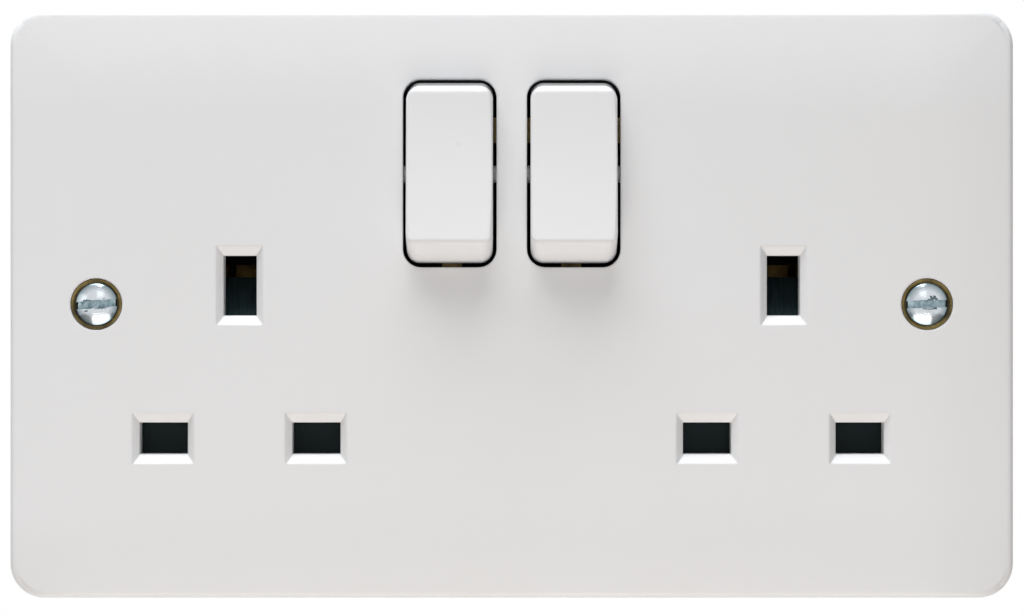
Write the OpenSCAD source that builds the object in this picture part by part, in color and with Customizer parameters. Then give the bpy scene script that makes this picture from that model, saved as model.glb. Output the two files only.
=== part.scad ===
// Switched double socket for flush mounting: face plate, rockers, see-saw switches, shutters and contacts.
// Shapes are drawn as seen from the front: x right, y up, z out of the wall, with z = 0 on the wall.
// The last step turns them upright, so that the face looks along -Y and the top is +Z.

/* [Face plate] */
// Width of the face plate
plate_w = 146; // [142:0.5:152]
// Height of the face plate
plate_h = 85.5; // [83:0.5:90]
// How far the face stands off the wall
plate_d = 9.5; // [9:0.1:11]
// Corner radius of the outline
corner_r = 5; // [3.5:0.5:8]
// Radius of the small roll at the front edge
edge_r = 1; // [0.5:0.25:3]
// Width of the softly crowned band inside the edge
crown_w = 14; // [8:0.5:14]
// Radius of that crown
crown_r = 90; // [60:1:140]
// Thickness of the face
face_t = 2.5; // [2:0.1:3]
// Thickness of the rim that meets the wall
rim_t = 2.2; // [1.6:0.1:3]

/* [Fixing] */
// Distance between the fixing screws, the standard two gang spacing
fix_pitch = 120.6; // [118:0.1:122]
// Thread diameter of a fixing screw
fix_thread_d = 3.5; // [3:0.1:4]
// Length of thread behind the wall plane
fix_thread_l = 18; // [14:0.5:25]
// Diameter of the raised countersunk head
fix_head_d = 6.05; // [5.4:0.05:6.3]
// Height of the head's dome
fix_dome_h = 0.75; // [0.4:0.05:1]
// Width of the screwdriver slot
fix_slot_w = 1.2; // [0.8:0.1:1.4]
// Turn of the left and the right slot
fix_slot_turn = [4.5, 2]; // [0:0.5:45]
// Outer diameter of the brass eyelet's front flange
eyelet_d = 7.33; // [6.8:0.01:7.8]
// Diameter of the eyelet's neck
eyelet_neck_d = 6; // [5.6:0.1:6.4]

/* [Outlets] */
// Distance from the centre line to each outlet
outlet_x = 39.5; // [38.5:0.1:40]
// Height of the earth slot's centre above the screws
earth_y = 2.7; // [2:0.1:3.5]
// Drop from the earth slot to the row of live slots
pin_drop = 22.2; // [21.8:0.1:22.6]
// Distance between the two live slots of an outlet
pin_pitch = 22.2; // [21.8:0.1:22.4]
// Width and height of the earth slot
earth_slot = [4.8, 8.7]; // [4:0.1:9]
// Width and height of a live slot
live_slot = [7, 4.6]; // [4:0.1:8]
// Width of the bevel at a slot's sides
bevel_side = 1; // [0.6:0.05:1.3]
// Width of the bevel above and below a slot
bevel_end = 1.4; // [0.8:0.05:1.6]
// Depth of the bevel
bevel_d = 1.1; // [0.7:0.05:1.4]
// Thickness of a pin
pin_t = 4; // [3.9:0.05:4.1]
// Width of the earth pin
earth_pin_w = 8; // [7.8:0.05:8.1]
// Length of the earth pin
earth_pin_l = 22.7; // [22:0.1:23]

/* [Rockers] */
// Distance from the centre line to each rocker
rocker_x = 9; // [8.9:0.05:9.4]
// Height of the rocker pivots above the screws
rocker_y = 19; // [18.5:0.1:19.5]
// Width and height of a rocker's aperture
rocker_hole = [13.6, 27.3]; // [13:0.1:28]
// Corner radius of the aperture
rocker_hole_r = 2.65; // [2:0.05:3]
// Gap at each side of a rocker
rocker_side_gap = 0.53; // [0.45:0.01:0.7]
// Gap at the ends of a rocker
rocker_end_gap = 0.35; // [0.25:0.01:0.5]
// How far a level rocker stands proud of the face
rocker_proud = 3.8; // [3.4:0.1:4]
// Lean of a rocker's ends, in degrees
rocker_lean = 16; // [14:0.5:18]
// Radius of the soft corners between a rocker's sides and its ends
rocker_corner = 1.9; // [1.2:0.1:2.2]
// Radius of the rounded edges round a rocker's front
rocker_edge = 0.8; // [0.4:0.1:1]
// Depth of the hollow across the front
rocker_dish = 0.4; // [0.2:0.05:0.6]
// Tilt of a rocker to either side of level
rocker_tilt = 7; // [6:0.5:7.5]
// Depth of the pivot behind the face
pivot_depth = 4; // [3.9:0.1:4.2]
// Diameter of the pivot pins
pivot_d = 2.5; // [2:0.1:3]
// Running clearance round a pivot pin
pivot_play = 0.08; // [0.05:0.01:0.1]

/* [Switch mechanism] */
// Distance from the pivot to the plunger's tip
plunger_reach = 14; // [13.6:0.1:14.4]
// Diameter of the plunger
plunger_d = 2.8; // [2.4:0.1:3]
// Length of the plunger
plunger_l = 6.5; // [6:0.1:7]
// Running clearance round the plunger
plunger_play = 0.08; // [0.05:0.01:0.1]
// Outer diameter of the stem that holds the plunger
stem_d = 5.4; // [5:0.1:5.8]
// Distance from the pivot to the stem's end
stem_reach = 9.5; // [9:0.1:10]
// Clearance under the plunger's tip
tip_play = 0.2; // [0.18:0.01:0.25]
// Angle between each arm of the see-saw contact and its middle
see_saw_bend = 10.5; // [9:0.5:11]
// Length of each arm
see_saw_arm = 8.9; // [8.6:0.1:9.2]
// Width of the see-saw contact
see_saw_w = 5; // [4.5:0.1:5.4]
// Thickness of the see-saw contact
see_saw_t = 1; // [0.8:0.1:1.2]
// Radius of the bead that the see-saw rocks on
bead_r = 0.7; // [0.6:0.05:0.75]
// Diameter of the silver contact tips
tip_d = 2.8; // [2.4:0.1:3.2]
// Thickness of the moving and the fixed tip
tip_t = [0.5, 0.8]; // [0.3:0.1:1]
// Gap between two closed contacts, as drawn
contact_play = 0.1; // [0.08:0.01:0.15]

/* [Contacts and bars] */
// Thickness of the brass strip
strip_t = 0.8; // [0.6:0.1:1]
// Width of the brass strip runs
strip_w = 3; // [2.4:0.1:3.4]
// Width of the earth bar
earth_bar_w = 6; // [5:0.1:6.5]
// How much narrower than a pin the spring grips are
grip_squeeze = 0.4; // [0.2:0.05:0.6]
// Width of a live grip
live_grip_w = 6; // [5:0.1:6.4]
// Depth behind the face at which the live grips begin
live_grip_in = 10; // [9.6:0.1:11]
// Depth behind the face at which the earth grips begin
earth_grip_in = 12.7; // [12.4:0.1:13.5]

/* [Shutters] */
// Width and height of a shutter's cover
cover = [30.4, 6.6]; // [6:0.1:31]
// Thickness of the shutter
shutter_t = 1.5; // [1.2:0.1:1.8]
// Depth of the shutter's front behind the face
shutter_in = 4.9; // [4.8:0.1:5.2]
// How far the shutter slides
shutter_travel = 5.8; // [5.4:0.1:6]
// Sliding clearance of the shutter
shutter_play = 0.3; // [0.2:0.05:0.4]
// Diameter of the shutter spring
shutter_spring_d = 3.4; // [3:0.1:3.8]

/* [Rear housing] */
// Width and height of the rear housing
housing = [112, 66]; // [64:0.5:112]
// Depth of the housing behind the wall plane
housing_d = 21; // [20.5:0.5:24]
// How far the housing's rim stands in front of the wall plane
housing_rim = 2.8; // [2:0.1:3]
// Wall thickness of the housing
housing_t = 1.6; // [1.2:0.1:2]
// Corner radius of the housing
housing_r = 3; // [2:0.5:5]
// Thickness of the inner barriers
barrier_t = 1.2; // [1:0.1:1.6]

/* [Terminals] */
// Distance from the centre line to the live terminals
live_terminal_x = 28; // [27.6:0.1:28.4]
// Distance from the centre line to the earth terminals
earth_terminal_x = 46; // [45.6:0.1:46.4]
// Height of the terminals above the screws
terminal_y = 22; // [21.5:0.1:22.5]
// Width, height and depth of a terminal block
block = [8, 9, 7.5]; // [7:0.1:10]
// Diameter of the wire bore
wire_d = 5; // [4:0.1:5.2]
// Thread diameter of a clamp screw
clamp_d = 3.2; // [2.8:0.1:3.6]
// Head diameter and height of a clamp screw
clamp_head = [5, 1.4]; // [1:0.1:6]
// How far the clamp screws are turned: line, neutral, left earth, right earth
clamp_turn = [30, 70, 10, 125]; // [0:1:180]

/* [Assembly] */
// Places of the two upper assembly bosses, on either side
boss_upper = [20.2, 12.5]; // [10:0.1:22]
// Places of the two lower assembly bosses
boss_lower = [17, -21.5]; // [-23:0.1:18]
// Diameter of the assembly bosses
boss_d = 5.6; // [5:0.1:6]
// Thread diameter of an assembly screw
assembly_d = 2.6; // [2:0.1:3]
// Head diameter and height of an assembly screw
assembly_head = [4.6, 1.8]; // [1:0.1:5]

/* [Colours] */
// Colour of the plate and the rockers
white = "#dfdfde"; // any colour
// Colour of the housing
housing_colour = "#2c2f31"; // any colour
// Colour of the shutters
black = "#1c2225"; // any colour
// Colour of the contacts and the terminals
brass = "#b08d3e"; // any colour
// Colour of the screws and the springs
steel = "#c9ccd0"; // any colour
// Colour of the contact tips
silver = "#dcdde0"; // any colour

/* [Hidden] */
$fn = 48;
cut = 1;                                  // overshoot of a cut past the face it opens
fit = 0.1;                                // gap between pieces that are assembled together
left = -1;
right = 1;

// Levels, measured out of the wall
web = plate_d - face_t;                   // back of the face
pivot_z = plate_d - pivot_depth;
bend_z = pivot_z - plunger_reach - tip_play - see_saw_t;  // underside of the see-saw at its middle
strip_z = bend_z - tip_t[0] - contact_play - tip_t[1];    // front of the live strips
block_z = strip_z - strip_t;              // front of the terminal blocks
floor_z = -housing_d + housing_t;         // inside of the housing's floor
earth_z = plate_d - earth_pin_l - 0.8;    // front of the earth bar
shutter_z = plate_d - shutter_in;         // front of the shutters
split_z = -2;                             // where plate bosses meet housing bosses
collar_end = shutter_z + shutter_play;    // back of the slot collars

// Places, as seen from the front
live_y = earth_y - pin_drop;
contact_reach = see_saw_arm - tip_d / 2 - 0.2;
fixed_y = rocker_y + contact_reach;       // centre of the fixed contact tips
rocker_size = [rocker_hole[0] - 2 * rocker_side_gap, rocker_hole[1] - 2 * rocker_end_gap];
run_y = live_y + 8.5;                     // level run of the line outlet strips
neutral_run = [outlet_x - 6.9, live_y + 9.5];  // inner run of the neutral busbar
neutral_low_y = live_y - 9.4;             // low run of the neutral busbar
post_in = rocker_hole[0] / 2 + 0.15;      // inner face of a bearing post
ring_z = housing_rim + 1.1;               // back of the earth rings
ring_r = eyelet_neck_d / 2 + 2.2;         // outer radius of the earth rings

// Rocker, measured from its pivot
cap_front = pivot_depth + rocker_proud;
skirt_back = pivot_depth - face_t - 0.2;  // back edge of the cap
cap_wall = 1.3;
cap_foot = rocker_size[1] / 2;            // where the ends meet the skirt's back edge
cap_border = cap_foot - (cap_front - skirt_back) * tan(rocker_lean)
    - rocker_edge * tan(45 - rocker_lean / 2);  // where the front starts to roll over

// Fulcrum, in the notches of the see-saw
ear_t = 0.8;
ear_w = 1.6;
fulcrum_drop = bead_r / 2;                // how far its top lies under the see-saw

// Shutter, from the outlet's centre
rail_in = earth_slot[0] / 2 + 0.5;        // inner face of a rail
rail_out = rail_in + 2;
ramp_low = earth_y - earth_pin_w / 2 - 0.5;   // the ramp's upper end when the shutter is open
ramp_high = ramp_low + shutter_travel;
ramp_foot = ramp_low - 2.2;               // the ramp's lower end, which the spring bears on
peg_y = live_y + cover[1] / 2 + 1.4;      // the fixed peg that the spring bears on

// Eyelet
flange_t = 1.2;
flange_sink = 0.2;
seat_mouth = eyelet_d / 2 - 0.32;         // radius of the countersink at the flange's front
neck_bore = fix_thread_d / 2 + 0.15;

// Shared shapes

module wall_frame() {
    rotate([90, 0, 0]) children();
}

module rounded(w, h, r) {
    union() {
        square([w - 2 * r, h], center = true);
        square([w, h - 2 * r], center = true);
        for (sx = [left, right], sy = [-1, 1]) translate([sx * (w / 2 - r), sy * (h / 2 - r)]) circle(r);
    }
}

module slab(w, h, r, from, to) {
    translate([0, 0, from]) linear_extrude(to - from) rounded(w, h, r);
}

module block_between(a, b) {
    translate([min(a[0], b[0]), min(a[1], b[1]), min(a[2], b[2])])
        cube([abs(b[0] - a[0]), abs(b[1] - a[1]), abs(b[2] - a[2])]);
}

// Extrudes a profile drawn in (y, z) along x, centred on x = 0
module along_x(length) {
    rotate([90, 0, 90]) translate([0, 0, -length / 2]) linear_extrude(length) children();
}

// Extrudes a profile drawn in (x, z) along y, centred on y = 0
module along_y(length) {
    rotate([90, 0, 0]) translate([0, 0, -length / 2]) linear_extrude(length) children();
}

function unit(v) = v / norm(v);

function across(v) = [-v[1], v[0]];

// One edge of a strip that follows the points, half its thickness to one side
function strip_edge(points, reach) = [for (i = [0 : len(points) - 1])
    let (last = len(points) - 1, a = unit(points[max(i, 1)] - points[max(i, 1) - 1]),
        b = unit(points[min(i + 1, last)] - points[min(i + 1, last) - 1]), n = unit(across(a) + across(b)))
    points[i] + n * reach / (n * across(a))];

// A strip bent through the given points
module bent_strip(points, t) {
    back = strip_edge(points, -t / 2);
    polygon(concat(strip_edge(points, t / 2), [for (i = [len(back) - 1 : -1 : 0]) back[i]]));
}

// A round wire wound along z from 0 to length
module coil(length, outer_d, wire, turns) {
    sides = 6;
    steps = turns * 10;
    r = (outer_d - wire) / 2;
    centre = function(i) [r * cos(36 * i), r * sin(36 * i), wire / 2 + (length - wire) * i / steps];
    ring = function(i, k) centre(i) + wire / 2 * [cos(36 * i) * cos(360 * k / sides),
        sin(36 * i) * cos(360 * k / sides), sin(360 * k / sides)];
    points = [for (i = [0 : steps], k = [0 : sides - 1]) ring(i, k)];
    sides_faces = [for (i = [0 : steps - 1], k = [0 : sides - 1]) let (n = (k + 1) % sides)
        [i * sides + k, (i + 1) * sides + k, (i + 1) * sides + n, i * sides + n]];
    ends = [[for (k = [0 : sides - 1]) k], [for (k = [0 : sides - 1]) steps * sides + sides - 1 - k]];
    polyhedron(points, concat(sides_faces, ends), convexity = 8);
}

// Face plate

// Section of the rolled edge: x = 0 lies where the corner's centre is, x = corner_r on the outline
module edge_section() {
    drop = plate_d - crown_r + sqrt(pow(crown_r - edge_r, 2) - pow(crown_w - edge_r, 2));
    union() {
        square([corner_r, drop]);
        square([corner_r - edge_r, plate_d]);
        translate([corner_r - edge_r, drop]) circle(edge_r);
    }
}

module crown_section(half) {
    flat = half - crown_w;
    union() {
        translate([-flat, -cut]) square([2 * flat, plate_d + cut]);
        for (s = [left, right]) intersection() {
            translate([min(0, s * (half + cut)), -cut]) square([half + cut, plate_d + cut]);
            translate([s * flat, plate_d - crown_r]) circle(crown_r);
        }
    }
}

module plate_shell() {
    straight_w = plate_w - 2 * corner_r;
    straight_h = plate_h - 2 * corner_r;
    intersection() {
        union() {
            translate([-straight_w / 2, -straight_h / 2, 0]) cube([straight_w, straight_h, plate_d]);
            for (s = [0, 180]) rotate(s) {
                translate([straight_w / 2, 0, 0]) along_y(straight_h) edge_section();
                rotate(90) translate([straight_h / 2, 0, 0]) along_y(straight_w) edge_section();
            }
            for (c = [[1, 1, 0], [-1, 1, 90], [-1, -1, 180], [1, -1, 270]])
                translate([c[0] * straight_w / 2, c[1] * straight_h / 2, 0]) rotate(c[2])
                    rotate_extrude(angle = 90) intersection() {
                        edge_section();
                        square([corner_r, plate_d]);
                    }
        }
        along_y(plate_h + cut) crown_section(plate_w / 2);
        along_x(plate_w + cut) crown_section(plate_h / 2);
    }
}

module slot_cut(size) {
    wide = [size[0] + 2 * bevel_side, size[1] + 2 * bevel_end];
    translate([-size[0] / 2, -size[1] / 2, collar_end - cut]) cube([size[0], size[1], plate_d - collar_end + cut]);
    intersection() {
        along_y(wide[1] + 4 * cut) bevel_section(size[0], wide[0]);
        along_x(wide[0] + 4 * cut) bevel_section(size[1], wide[1]);
    }
}

module bevel_section(narrow, wide) {
    grow = (wide - narrow) / 2 * cut / bevel_d;
    polygon([[-narrow / 2, plate_d - bevel_d], [narrow / 2, plate_d - bevel_d],
        [wide / 2 + grow, plate_d + cut], [-wide / 2 - grow, plate_d + cut]]);
}

module slot_collar(size) {
    slab(size[0] + 2 * barrier_t, size[1] + 2 * barrier_t, barrier_t / 2, collar_end, web + face_t / 2);
}

module bearing_post(x) {
    low = pivot_z - pivot_d / 2 - 1.8;
    width = pivot_d + 3.8;
    translate([x, rocker_y, 0]) along_x(2 * (rocker_x - post_in)) union() {
        translate([-width / 2, low + 1]) square([width, web - low - 0.5]);
        translate([-width / 2 + 1, low]) square([width - 2, 2]);
        for (s = [-1, 1]) translate([s * (width / 2 - 1), low + 1]) circle(1, $fn = 24);
    }
}

module bearing_cut() {
    translate([0, rocker_y, 0]) along_x(2 * (rocker_x + rocker_hole[0])) union() {
        translate([0, pivot_z]) circle(d = pivot_d + 2 * pivot_play);
        translate([-pivot_d / 2 + 0.15, pivot_z - pivot_d * 2]) square([pivot_d - 0.3, pivot_d * 2]);
    }
}

module front_plate() {
    color(white) difference() {
        union() {
            difference() {
                plate_shell();
                slab(plate_w - 2 * rim_t, plate_h - 2 * rim_t, max(corner_r - rim_t, 1), -cut, web);
            }
            for (s = [left, right]) {
                translate([s * fix_pitch / 2, 0, ring_z + strip_t + fit])
                    cylinder(d = eyelet_d + 3.6, h = web - ring_z - strip_t);
                for (t = [-1, 1]) {
                    translate([s * outlet_x + t * pin_pitch / 2, live_y, 0]) slot_collar(live_slot);
                }
                translate([s * outlet_x, earth_y, 0]) slot_collar(earth_slot);
                for (p = [boss_upper, boss_lower])
                    translate([s * p[0], p[1], split_z + fit]) cylinder(d = boss_d, h = web - split_z);
                bearing_post(s * 2 * rocker_x);
                translate([s * outlet_x, 0, 0]) shutter_guides();
            }
            bearing_post(0);
            plate_ribs();
        }
        bearing_cut();
        for (s = [left, right]) {
            translate([s * rocker_x, rocker_y, 0]) slab(rocker_hole[0], rocker_hole[1], rocker_hole_r, web - cut,
                plate_d + cut);
            for (t = [-1, 1]) translate([s * outlet_x + t * pin_pitch / 2, live_y, 0]) slot_cut(live_slot);
            translate([s * outlet_x, earth_y, 0]) slot_cut(earth_slot);
            translate([s * fix_pitch / 2, 0, 0]) {
                translate([0, 0, -cut]) cylinder(d = eyelet_neck_d + 2 * fit, h = plate_d + 2 * cut);
                translate([0, 0, -cut]) cylinder(r = ring_r + 2 * fit, h = ring_z + strip_t + fit + cut);
                translate([0, 0, plate_d - flange_t - flange_sink - fit])
                    cylinder(d = eyelet_d + 2 * fit, h = flange_t + flange_sink + fit + cut);
            }
            for (p = [boss_upper, boss_lower])
                translate([s * p[0], p[1], split_z - cut]) cylinder(d = assembly_d + 2 * pivot_play,
                    h = web - split_z + 0.4 + cut);
        }
    }
}

// Ribs that steady a shutter: one outside each rail, and the peg behind its spring
module shutter_guides() {
    for (s = [-1, 1])
        block_between([s * (rail_out + shutter_play), earth_y - 14, shutter_z - shutter_t],
            [s * (rail_out + shutter_play + barrier_t), earth_y - 5.5, web + cut / 2]);
    block_between([-rail_in + shutter_play, peg_y - 0.8, shutter_z - shutter_t / 2 - shutter_spring_d / 2],
        [rail_in - shutter_play, peg_y + 0.8, web + cut / 2]);
}

module plate_ribs() {
    rib = 1;
    low = web - 2.6;
    for (s = [left, right]) {
        for (y = [-1, 1])
            block_between([s * (plate_w / 2 - rim_t - cut / 2), y * 12 - rib / 2, low],
                [s * (housing[0] / 2 + 0.6), y * 12 + rib / 2, web + cut / 2]);
        for (x = [15, 34, 53])
            block_between([s * x - rib / 2, -plate_h / 2 + rim_t - cut / 2, low],
                [s * x + rib / 2, -housing[1] / 2 - 0.6, web + cut / 2]);
        for (x = [34, 53])
            block_between([s * x - rib / 2, plate_h / 2 - rim_t + cut / 2, low],
                [s * x + rib / 2, housing[1] / 2 + 0.6, web + cut / 2]);
    }
}

// Rockers

// Side view of the cap in (y, z): leaning ends, rounded borders and a dished front
module cap_side() {
    step = 0.02;
    rise = cap_front - rocker_edge;
    shoulder = [cap_border + rocker_edge * cos(rocker_lean), rise + rocker_edge * sin(rocker_lean)];
    dish_half = cap_border - 0.2;
    dish_r = (pow(dish_half, 2) + pow(rocker_dish, 2)) / (2 * rocker_dish);
    difference() {
        union() {
            polygon([[-cap_foot, skirt_back], [cap_foot, skirt_back], shoulder, [cap_border, cap_front],
                [-cap_border, cap_front], [-shoulder[0], shoulder[1]]]);
            for (s = [-1, 1]) translate([s * (cap_border - step), rise - step]) circle(rocker_edge, $fn = 32);
        }
        translate([0, cap_front - rocker_dish + dish_r]) circle(dish_r, $fn = 200);
    }
}

// One leaning end with its soft corners, which follow the lean
module cap_lean(side) {
    translate([0, side * cap_foot, skirt_back]) rotate([side * rocker_lean, 0, 0])
        translate([0, -side * rocker_size[1], 0])
            slab(rocker_size[0], 2 * rocker_size[1], rocker_corner, -rocker_size[1] / 2, rocker_size[1]);
}

// View of the cap from its end in (x, z): upright sides with rounded front edges
module cap_end() {
    half = rocker_size[0] / 2;
    union() {
        translate([-half, skirt_back - cut]) square([2 * half, cap_front - rocker_edge - skirt_back + cut]);
        translate([-half + rocker_edge, skirt_back - cut]) square([2 * (half - rocker_edge), cap_front - skirt_back + cut]);
        for (s = [-1, 1]) translate([s * (half - rocker_edge), cap_front - rocker_edge]) circle(rocker_edge, $fn = 32);
    }
}

module rocker_cap() {
    difference() {
        intersection() {
            along_x(rocker_size[0] + cut) cap_side();
            along_y(rocker_size[1] + 4 * cut) cap_end();
            cap_lean(-1);
            cap_lean(1);
        }
        slab(rocker_size[0] - 2 * cap_wall, 2 * cap_border, 1, skirt_back - cut, cap_front - rocker_dish - 1.6);
    }
}

module rocker(side) {
    half = rocker_size[0] / 2;
    cheek_t = 1.6;
    cheek_r = pivot_d / 2 + 1.1;
    top = cap_front - rocker_dish - 1.2;
    color(white) wall_frame() translate([side * rocker_x, rocker_y, pivot_z]) rotate([-rocker_tilt, 0, 0])
    difference() {
        union() {
            rocker_cap();
            translate([0, 0, -stem_reach]) cylinder(d = stem_d, h = stem_reach + top);
            for (s = [-1, 1]) {
                translate([s * (half - cheek_t / 2), 0, 0]) along_x(cheek_t) union() {
                    circle(cheek_r);
                    translate([-cheek_r, 0]) square([2 * cheek_r, top]);
                }
                translate([s * (half + 0.5), 0, 0]) along_x(2.4) circle(d = pivot_d);
            }
        }
        translate([0, 0, -stem_reach - cut]) cylinder(d = plunger_d + 2 * plunger_play, h = stem_reach + cut + 1);
    }
}

// Switch mechanism

module plunger(side) {
    color(steel) wall_frame() translate([side * rocker_x, rocker_y, pivot_z]) rotate([-rocker_tilt, 0, 0])
        translate([0, 0, -plunger_reach]) {
            translate([0, 0, plunger_d / 2]) sphere(d = plunger_d);
            translate([0, 0, plunger_d / 2]) cylinder(d = plunger_d, h = plunger_l - plunger_d / 2);
        }
}

module plunger_spring(side) {
    low = -plunger_reach + plunger_l + fit;
    color(steel) wall_frame() translate([side * rocker_x, rocker_y, pivot_z]) rotate([-rocker_tilt, 0, 0])
        translate([0, 0, low]) coil(1 - fit - low, plunger_d - 0.1, 0.4, 8);
}

// Strip pressed into a shallow V, with a bead to rock on and a notch at each side for the fulcrum's ears
module moving_contact(side) {
    color(brass) wall_frame() translate([side * rocker_x, rocker_y, bend_z]) rotate([see_saw_bend, 0, 0])
        difference() {
            union() {
                for (s = [-1, 1]) rotate([s * see_saw_bend, 0, 0])
                    block_between([-see_saw_w / 2, 0, 0], [see_saw_w / 2, s * see_saw_arm, see_saw_t]);
                along_x(see_saw_w) circle(bead_r);
            }
            for (s = [-1, 1]) block_between([s * (see_saw_w / 2 - ear_t - fit), -ear_w / 2 - 0.5, -cut],
                [s * (see_saw_w / 2 + cut), ear_w / 2 + 0.5, see_saw_t + cut]);
        }
}

module moving_tip(side) {
    color(silver) wall_frame() translate([side * rocker_x, rocker_y, bend_z]) rotate([2 * see_saw_bend, 0, 0])
        translate([0, contact_reach, -tip_t[0]]) cylinder(d = tip_d, h = tip_t[0]);
}

module fixed_tips() {
    color(silver) wall_frame() for (s = [left, right])
        translate([s * rocker_x, fixed_y, strip_z]) cylinder(d = tip_d, h = tip_t[1]);
}

// Contacts and bars

// Two leaves that pinch a pin, drawn in (across, depth)
module grip_section(pin, top, base) {
    pinch = (pin - grip_squeeze) / 2 + strip_t / 2;
    for (s = [-1, 1])
        bent_strip([[s * (pinch + 0.9), base - strip_t / 2], [s * pinch, top - 3], [s * (pinch + 1), top - strip_t / 2]],
            strip_t);
    translate([-pinch - 0.9, base - strip_t]) square([2 * pinch + 1.8, strip_t]);
}

module live_grip(x) {
    translate([x, live_y, 0]) along_x(live_grip_w) grip_section(pin_t, plate_d - live_grip_in, strip_z);
}

module earth_grip(x) {
    translate([x, earth_y, 0]) along_y(earth_pin_w - 1.5) grip_section(pin_t, plate_d - earth_grip_in, earth_z);
}

// A straight run of live strip between two corners of its outline
module run(a, b) {
    block_between([a[0], a[1], block_z], [b[0], b[1], strip_z]);
}

module fulcrum(side) {
    translate([side * rocker_x, rocker_y, 0]) {
        run([-see_saw_w / 2, -3], [see_saw_w / 2, 3]);
        along_x(see_saw_w - 2) difference() {
            polygon([[-1.6, block_z], [1.6, block_z], [1.1, bend_z - fulcrum_drop], [-1.1, bend_z - fulcrum_drop]]);
            translate([0, bend_z]) circle(bead_r + fit);
        }
        for (s = [-1, 1]) block_between([s * (see_saw_w / 2 - ear_t), -ear_w / 2, block_z],
            [s * (see_saw_w / 2), ear_w / 2, bend_z + see_saw_t + 0.6]);
    }
}

module line_outlet(side) {
    x = outlet_x * side + pin_pitch / 2;
    near = side * rocker_x;
    color(brass) wall_frame() union() {
        fulcrum(side);
        run([near - strip_w / 2, run_y - strip_w / 2], [near + strip_w / 2, rocker_y - 2]);
        run([near, run_y - strip_w / 2], [x, run_y + strip_w / 2]);
        run([x - strip_w / 2, run_y + strip_w / 2], [x + strip_w / 2, live_y]);
        live_grip(x);
    }
}

module line_busbar() {
    far = -rocker_x - tip_d / 2 - 1;
    color(brass) wall_frame() union() {
        run([far, fixed_y - tip_d / 2 - 0.5], [live_terminal_x + strip_w / 2, fixed_y + tip_d / 2 + 0.5]);
        run([live_terminal_x - block[0] / 2 + 1, terminal_y - block[1] / 2 + 1],
            [live_terminal_x + block[0] / 2 - 1, fixed_y]);
    }
}

module neutral_busbar() {
    far_left = -outlet_x - pin_pitch / 2;
    far_right = outlet_x - pin_pitch / 2;
    half = strip_w / 2;
    bend_y = terminal_y - block[1] / 2 - 4.5;
    color(brass) wall_frame() union() {
        run([-live_terminal_x - 2, terminal_y + block[1] / 2 - 1], [-live_terminal_x + 2, bend_y]);
        run([-live_terminal_x + 2, bend_y], [-neutral_run[0] - half, bend_y + strip_w]);
        run([-neutral_run[0] - half, bend_y + strip_w], [-neutral_run[0] + half - 0.4, neutral_run[1] - half]);
        run([-neutral_run[0], neutral_run[1] - half], [far_left - half, neutral_run[1] + half]);
        run([far_left - half, neutral_run[1]], [far_left + half, neutral_low_y - half]);
        live_grip(far_left);
        run([far_left, neutral_low_y - half], [far_right + half, neutral_low_y + half]);
        run([far_right - half, neutral_low_y], [far_right + half, live_y]);
        live_grip(far_right);
    }
}

module earth_bar() {
    half = earth_bar_w / 2;
    riser = housing[0] / 2 - housing_t - 1.8;
    arm_y = earth_y + half + 2.4;
    color(brass) wall_frame() union() {
        block_between([-riser - strip_t, earth_y - half, earth_z - strip_t], [riser + strip_t, earth_y + half, earth_z]);
        for (s = [left, right]) {
            earth_grip(s * outlet_x);
            // strap that climbs over the housing's rim to the ring at the eyelet
            block_between([s * riser, earth_y - half, earth_z - strip_t],
                [s * (riser + strip_t), earth_y + half - 1, ring_z + strip_t]);
            difference() {
                union() {
                    block_between([s * riser, earth_y - half, ring_z], [s * fix_pitch / 2, earth_y + half - 1,
                        ring_z + strip_t]);
                    translate([s * fix_pitch / 2, 0, ring_z]) cylinder(r = ring_r, h = strip_t);
                }
                translate([s * fix_pitch / 2, 0, ring_z - cut]) cylinder(d = eyelet_neck_d + 2 * fit,
                    h = strip_t + 2 * cut);
            }
            // arm that steps up to the terminal block
            block_between([s * earth_terminal_x - 2.5, earth_y, earth_z - strip_t],
                [s * earth_terminal_x + 2.5, arm_y, earth_z]);
            block_between([s * earth_terminal_x - 2.5, arm_y, earth_z - strip_t],
                [s * earth_terminal_x + 2.5, arm_y + strip_t, strip_z]);
            block_between([s * earth_terminal_x - 2.5, arm_y, block_z],
                [s * earth_terminal_x + 2.5, terminal_y + block[1] / 2 - 1, strip_z]);
        }
    }
}

// Terminals

module terminal(x) {
    centre_z = block_z - block[2] / 2;
    color(brass) wall_frame() translate([x, terminal_y, centre_z]) difference() {
        cube(block, center = true);
        rotate([90, 0, 0]) cylinder(d = wire_d, h = block[1] + 2 * cut, center = true);
        translate([0, 0, -block[2] / 2 - cut]) cylinder(d = clamp_d + 2 * pivot_play, h = block[2] / 2 + cut);
    }
}

module clamp_screw(x, turn) {
    tip = block_z - block[2] / 2 - wire_d / 2 - 0.05;
    seat = block_z - block[2] - 0.15;
    color(steel) wall_frame() translate([x, terminal_y, 0]) difference() {
        union() {
            translate([0, 0, seat - clamp_head[1] / 2]) cylinder(d = clamp_d, h = tip - seat + clamp_head[1] / 2);
            translate([0, 0, seat - clamp_head[1]]) cylinder(d = clamp_head[0], h = clamp_head[1]);
        }
        translate([0, 0, seat - clamp_head[1]]) rotate(turn) cube([clamp_head[0] + cut, 1, 1.4], center = true);
    }
}

// Shutters

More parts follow.
